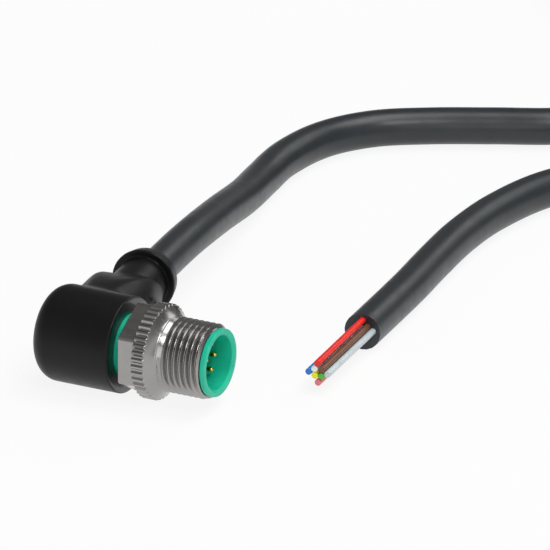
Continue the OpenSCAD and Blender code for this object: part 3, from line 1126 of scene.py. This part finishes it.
class PLUG_OT_pins(bpy.types.Operator):
    """Turns the eight pins with their domed tips, shoulders and solder cups"""

    bl_idname = "plug.pins"
    bl_label = "Pins"

    def execute(self, context):
        sizes = settings_of("carrier")
        r = sizes.pin_d / 2 / MM
        floor = RIM_FRONT - sizes.cavity_depth / MM
        dome = []
        for k in range(DOME_STEPS):
            turn = math.pi / 2 * k / DOME_STEPS
            dome.append((PIN_TIP - r + r * math.sin(turn), r * math.cos(turn)))
        dome.append((PIN_TIP, 0))
        cup = softened([
            (PIN_BACK + CUP_DEPTH, 0, 0), (PIN_BACK + CUP_DEPTH, CUP_BORE_R, 0.1),
            (PIN_BACK, CUP_BORE_R, 0.04), (PIN_BACK, CUP_R, 0.06), (CARRIER_BACK, CUP_R, 0.06),
            (CARRIER_BACK, PIN_BODY_R, 0.02), (floor, PIN_BODY_R, 0.06), (floor, r, 0.02),
            dome[0] + (0,)], steps=3)
        outline = cup[:-1] + dome
        for number in range(1, 9):
            _, y, z = middle("pin_" + str(number))
            name = "contact_pin_" + str(number)
            mesh = turned(name, outline, sides=32, centre=(y, z))
            smooth(mesh, 40)
            pin = new_piece(name, mesh, "gold", "plug")
            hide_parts("pin_" + str(number))
            dress(frame["nodes"]["conductor_" + str(number)], "copper")
        return {"FINISHED"}


# Housing


# Edges, fillets, hollows and key mark of the housing, and the fineness of its mesh
FRONT_EDGE = 0.25
ROOT_EDGE = 0.4
BODY_FILLET = 1.1
NECK_FILLET = 0.35
MARK_FILLET = 0.12
COLLAR_LIP = 0.5
COLLAR_END_EDGE = 0.3
COLLAR_BACK_EDGE = 0.1
COLLAR_FILLET = 0.15
HOLLOW_R = 3.6
WELL_END = 9
HOLLOW_EDGE = 0.1
OVERLAP = 1
JACKET_GAP = 0.02
MARK_TURN = math.radians(12)
MARK_AT = 13.6
MARK_TIP = (0.85, 0.0)
MARK_FOOT = (-0.75, 1.05)
MARK_LINE = 0.27
MARK_RISE = 0.2
FINE_STEP = 0.17


def housing_field(points):
    """Field of the moulded housing: below nought inside it."""
    sizes = settings_of("housing")
    x, y, z = points.T
    side_r = -FLOOR_Z
    back = HOUSING_FRONT - sizes.housing_len / MM
    around = np.hypot(y, z)
    body = np.maximum(
        round_corner(back - x, around - side_r, sizes.dome_r / MM),
        round_corner(x - HOUSING_FRONT, around - side_r, FRONT_EDGE))

    origin, along, ahead = outlet_frame()
    shift = points - np.array(origin)
    s = shift @ np.array(along)
    forward = shift @ np.array(ahead)
    rho = np.hypot(forward, z)
    root_r = root_radius(s)
    collar_at = sizes.collar_at / MM
    root = np.maximum(round_corner(rho - root_r, arch(s, z), ROOT_EDGE), -s - OVERLAP)
    neck = np.maximum(rho - sizes.neck_d / 2 / MM, s - collar_at - OVERLAP)
    neck = np.maximum(neck, -s - OVERLAP)
    solid = joined(body, joined(root, neck, NECK_FILLET), BODY_FILLET)

    turn = np.arctan2(z, forward)
    solid = joined(solid, key_mark(s, rho, turn, root_r), MARK_FILLET)

    wide, narrow = sizes.collar_d / 2 / MM, sizes.collar_end_d / 2 / MM
    end = outlet_mouth()
    lip = collar_at + COLLAR_LIP
    taper = wide + (narrow - wide) * np.clip((s - lip) / (end - lip), 0, 1)
    collar = np.maximum(
        round_corner(rho - taper, s - end, COLLAR_END_EDGE),
        round_corner(rho - taper, collar_at - s, COLLAR_BACK_EDGE))
    solid = joined(solid, collar, COLLAR_FILLET)

    chamber = np.maximum(around - HOLLOW_R, origin.x - OVERLAP - x)
    pocket = np.maximum(around - settings_of("carrier").boss_d / 2 / MM, CARRIER_BACK - x)
    well = np.maximum(np.maximum(rho - HOLLOW_R, s - WELL_END), -s - OVERLAP)
    bore = np.maximum(rho - settings_of("cable").cable_d / 2 / MM - JACKET_GAP, -s)
    hollow = np.minimum(np.minimum(chamber, pocket), np.minimum(well, bore))
    return -joined(-solid, hollow, HOLLOW_EDGE)


def root_radius(s):
    """Radius of the outlet's root at a distance along its axis."""
    sizes = settings_of("housing")
    start = sizes.root_end
    t = np.clip((s * MM - start) / (sizes.collar_at - start), 0, 1)
    return (sizes.root_d / 2 - sizes.root_taper * (1 - np.cos(np.pi * t)) / 2) / MM


def arch(s, z):
    """Field of the arch in which the root ends: a half ellipse seen along the thread's axis."""
    sizes = settings_of("housing")
    half = sizes.root_d / 2 / MM
    foot = sizes.arch_from / MM
    rise = sizes.arch_top / MM - foot
    up = np.maximum(s - foot, 0)
    reach = np.hypot(z / half, up / rise)
    slope = np.maximum(np.hypot(z / half ** 2, up / rise ** 2), 1e-6)
    return (reach - 1) * np.maximum(reach, 1e-6) / slope


def key_mark(s, rho, turn, root_r):
    """Field of the small raised arrowhead on the outlet's root."""
    across = (turn - MARK_TURN) * root_r
    forward = s - MARK_AT
    tip = np.array(MARK_TIP)
    strokes = []
    for sign in (-1, 1):
        run = np.array((MARK_FOOT[0], MARK_FOOT[1] * sign)) - tip
        t = np.clip(((forward - tip[0]) * run[0] + (across - tip[1]) * run[1]) / (run @ run), 0, 1)
        strokes.append(np.hypot(forward - tip[0] - t * run[0], across - tip[1] - t * run[1]))
    return np.maximum(np.minimum(*strokes) - MARK_LINE, np.abs(rho - root_r) - MARK_RISE)


class PLUG_OT_housing(bpy.types.Operator):
    """Moulds the housing with its domed back, arched outlet root, neck, collar and key mark"""

    bl_idname = "plug.housing"
    bl_label = "Housing"

    def execute(self, context):
        low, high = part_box("housing")
        step = FINE_STEP
        low = [c / MM - 1.5 * step for c in low]
        high = [c / MM + 1.5 * step for c in high]
        mesh = skin("housing_body", housing_field, low, high, step)
        smooth(mesh, 50)
        housing = new_piece("housing_body", mesh, "housing_black", "plug")
        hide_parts("housing")
        return {"FINISHED"}


# Stage


# The view, the lamps and the floor: each lamp's place and size are in metres, the rest in millimetres
VIEW_TURN = math.radians(28)
VIEW_RISE = math.radians(21.7)
VIEW_AT = (6.41, 8.44, 12.70)
VIEW_WIDTH = 85.3
LENS = 1200.0
SENSOR = 36
LAMPS_AT = (0, 20, 0)
LAMPS = (
    ("key_lamp", (0.75, -0.55, 1.15), (0.5, 0.4), 6.0),
    ("top_lamp", (0.35, 0.35, 1.4), (1.0, 0.9), 12.0),
    ("back_lamp", (0.3, 1.25, 0.8), (0.8, 0.5), 2.2),
    ("front_lamp", (0.55, -1.3, 0.45), (0.9, 0.9), 3.0),
    ("side_lamp", (1.3, -0.5, 0.5), (0.5, 0.9), 0.5))
WORLD_LIGHT = 0.75
FLOOR_HALF = 6000
FLOOR_DROP = 0.1
FLOOR_GLOW = 0.88


class PLUG_OT_stage(bpy.types.Operator):
    """Sets the camera, the studio lamps, the world and the pale floor"""

    bl_idname = "plug.stage"
    bl_label = "Stage"

    def execute(self, context):
        self.camera(context)
        self.lamps()
        self.world(context)
        self.floor()
        context.scene.view_settings.view_transform = "Standard"
        return {"FINISHED"}

    def camera(self, context):
        """A long lens that looks down on the plug."""
        right = Vector((math.cos(VIEW_TURN), math.sin(VIEW_TURN), 0))
        back = Vector((
            math.sin(VIEW_TURN) * math.cos(VIEW_RISE), -math.cos(VIEW_TURN) * math.cos(VIEW_RISE),
            math.sin(VIEW_RISE)))
        up = back.cross(right)
        data = bpy.data.cameras.new("camera")
        data.lens = LENS
        data.sensor_width = SENSOR
        data.clip_start, data.clip_end = 0.1, 20
        camera = placed("camera", data)
        matrix = Matrix((right, up, back)).transposed().to_4x4()
        matrix.translation = Vector(VIEW_AT) * MM + back * (VIEW_WIDTH * MM * LENS / SENSOR)
        camera.matrix_world = matrix
        context.scene.camera = camera

    def lamps(self):
        """Soft lamps that all face the plug."""
        aim = Vector(LAMPS_AT) * MM
        for name, place, size, power in LAMPS:
            data = bpy.data.lights.new(name, "AREA")
            data.shape = "RECTANGLE"
            data.size, data.size_y = size
            data.energy = power
            lamp = placed(name, data)
            lamp.location = place
            lamp.rotation_euler = (aim - Vector(place)).to_track_quat("-Z", "Y").to_euler()

    def world(self, context):
        """A grey room, dimmer overhead and behind."""
        world = bpy.data.worlds.new("studio")
        world.use_nodes = True
        context.scene.world = world
        g = Graph(world.node_tree)
        way = g.xyz(g.node("ShaderNodeTexCoord").outputs["Generated"])
        overhead = g.between(way["Z"], 0.75, 0.3, 0.0, 0.8)
        behind = g.between(way["Y"], 1.0, 0.4, -0.2, 0.7)
        g.feed(g.nodes["Background"], {
            "Color": g.maths("MULTIPLY", overhead, behind), "Strength": WORLD_LIGHT})

    def floor(self):
        """A pale floor that takes shadows and can't be seen from below."""
        z = FLOOR_Z - FLOOR_DROP
        half = FLOOR_HALF
        mesh = mesh_of(
            "floor", [(-half, -half, z), (half, -half, z), (half, half, z), (-half, half, z)],
            [(0, 1, 2, 3)])
        floor = placed("floor", mesh)
        material = bpy.data.materials.new("studio_floor")
        material.use_nodes = True
        g = Graph(material.node_tree)
        matte = g.nodes["Principled BSDF"]
        g.feed(matte, {"Base Color": (*settings_of("colours").floor, 1), "Roughness": 0.9})
        rays = g.node("ShaderNodeLightPath").outputs
        seen = g.maths("MAXIMUM", rays["Is Camera Ray"], rays["Is Glossy Ray"])
        seen = g.maths("MAXIMUM", seen, rays["Is Transmission Ray"])
        glow = g.node("ShaderNodeEmission").outputs["Emission"]
        top = g.node("ShaderNodeMixShader", {
            "Fac": g.maths("MULTIPLY", seen, FLOOR_GLOW), 1: matte.outputs["BSDF"], 2: glow})
        both = g.node("ShaderNodeMixShader", {
            "Fac": g.node("ShaderNodeNewGeometry").outputs["Backfacing"], 1: top.outputs["Shader"],
            2: g.node("ShaderNodeBsdfTransparent").outputs["BSDF"]})
        g.feed(g.nodes["Material Output"], {"Surface": both.outputs["Shader"]})
        mesh.materials.append(material)


class PLUG_PT_panel(bpy.types.Panel):
    """Lists the plug's sizes, colours and pieces"""

    bl_idname = "PLUG_PT_panel"
    bl_label = "Round Plug"
    bl_space_type = "VIEW_3D"
    bl_region_type = "UI"
    bl_category = "Plug"

    def draw(self, context):
        for operator in OPERATORS:
            self.layout.operator(operator.bl_idname)
        for name in GROUPS:
            group = getattr(context.scene, name)
            box = self.layout.box()
            for key in group.bl_rna.properties.keys():
                if key not in {"rna_type", "name"}:
                    box.prop(group, key)


GROUPS = {
    "plug_screw": PlugScrewSizes,
    "plug_housing": PlugHousingSizes,
    "plug_carrier": PlugCarrierSizes,
    "plug_cable": PlugCableSizes,
    "plug_colours": PlugColours,
}
OPERATORS = (
    PLUG_OT_stage, PLUG_OT_cores, PLUG_OT_strap, PLUG_OT_cable,
    PLUG_OT_screw, PLUG_OT_carrier, PLUG_OT_pins, PLUG_OT_housing)


def register():
    for made in (*GROUPS.values(), *OPERATORS, PLUG_PT_panel):
        bpy.utils.register_class(made)
    for name, group in GROUPS.items():
        setattr(bpy.types.Scene, name, PointerProperty(type=group))


def unregister():
    for name in GROUPS:
        delattr(bpy.types.Scene, name)
    for made in reversed((*GROUPS.values(), *OPERATORS, PLUG_PT_panel)):
        bpy.utils.unregister_class(made)


def main():
    """Builds every piece in order."""
    register()
    for operator in OPERATORS:
        family, name = operator.bl_idname.split(".")
        getattr(getattr(bpy.ops, family), name)()


if __name__ == "__main__":
    main()
